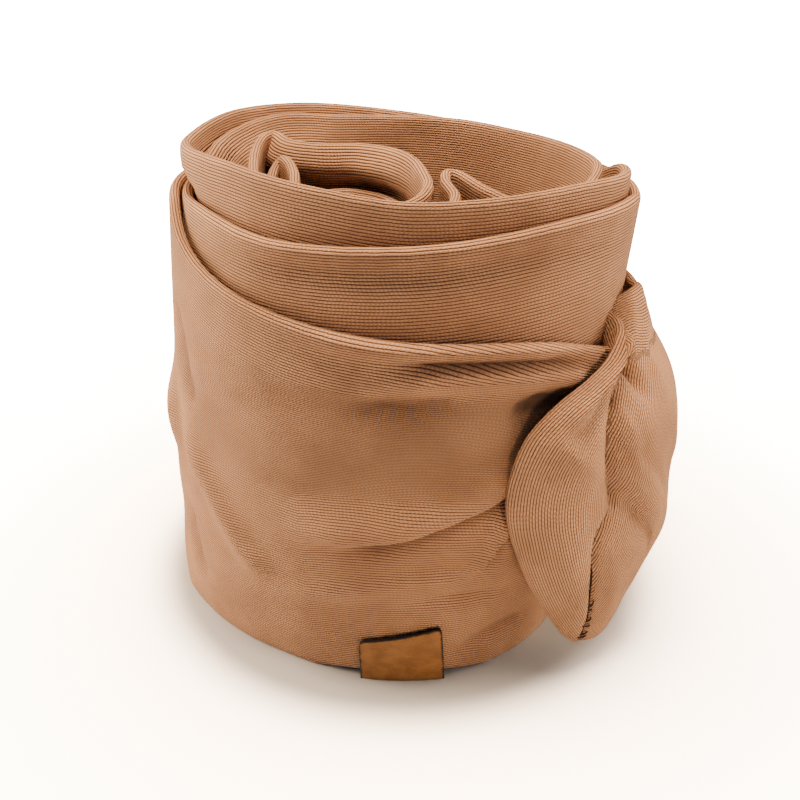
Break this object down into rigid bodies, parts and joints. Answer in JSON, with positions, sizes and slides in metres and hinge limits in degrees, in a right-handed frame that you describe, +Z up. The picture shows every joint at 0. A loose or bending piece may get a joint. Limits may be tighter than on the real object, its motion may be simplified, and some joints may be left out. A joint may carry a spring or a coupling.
{
  "type": "wire headband",
  "caption": "Long tube of ribbed jersey with a hidden bendable wire, rolled up and stood on edge, its outer end gathered, folded back and hanging as a leaf-shaped tail; small leather label.",
  "frame": {"origin": "on the surface it stands on, under the middle of the overall box", "axes": "+Z up along the roll's axis, -Y towards the front with the label, +X towards the side where the tail hangs"},
  "size_m": [0.0958, 0.087, 0.0893],
  "materials": {
    "jersey": "matte fine-ribbed knit, mocha brown",
    "leather": "smooth satin cognac, burnt dark at the cut edges"
  },
  "bodies": {
    "root": {"band": "jersey", "label": "leather"}
  },
  "joints": []
}
